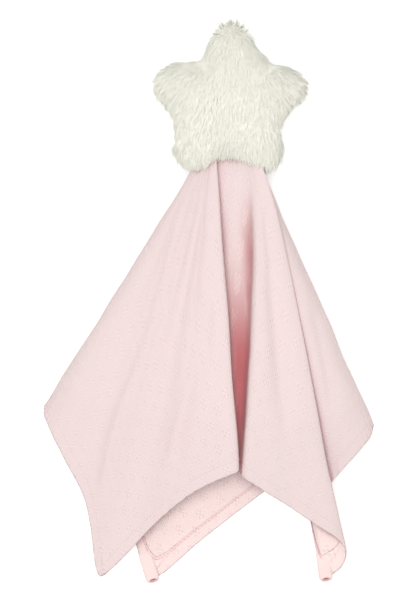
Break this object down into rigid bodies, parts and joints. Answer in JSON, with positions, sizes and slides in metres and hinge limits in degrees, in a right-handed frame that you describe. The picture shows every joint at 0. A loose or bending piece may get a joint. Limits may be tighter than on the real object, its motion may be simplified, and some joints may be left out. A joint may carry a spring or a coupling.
{
  "type": "comfort blanket",
  "caption": "Stuffed plush star sewn by its bottom seam to the gathered middle of a soft square knit blanket, for a baby to hold.",
  "frame": {"origin": "on the table, under the middle of the whole part's box", "axes": "+X to the right across the blanket, +Y up past the star's top arm, +Z away from the table, out of the star's front"},
  "size_m": [0.2142, 0.3538, 0.0397],
  "materials": {
    "blanket_knit": "matt openwork cotton knit",
    "star_plush": "long pile plush",
    "star_fibre": "loose polyester fibre"
  },
  "bodies": {
    "blanket_body": {"blanket": "blanket_knit"},
    "star_head": {"star_front_panel": "star_plush", "star_back_panel": "star_plush", "star_filling": "star_fibre"}
  },
  "joints": [
    {"name": "head_flop", "type": "hinge", "parent": "blanket_body", "child": "star_head", "pos_m": [0.01215, 0.09006, 0.0267], "axis": [1, 0, 0], "range_deg": [0, 135]}
  ]
}
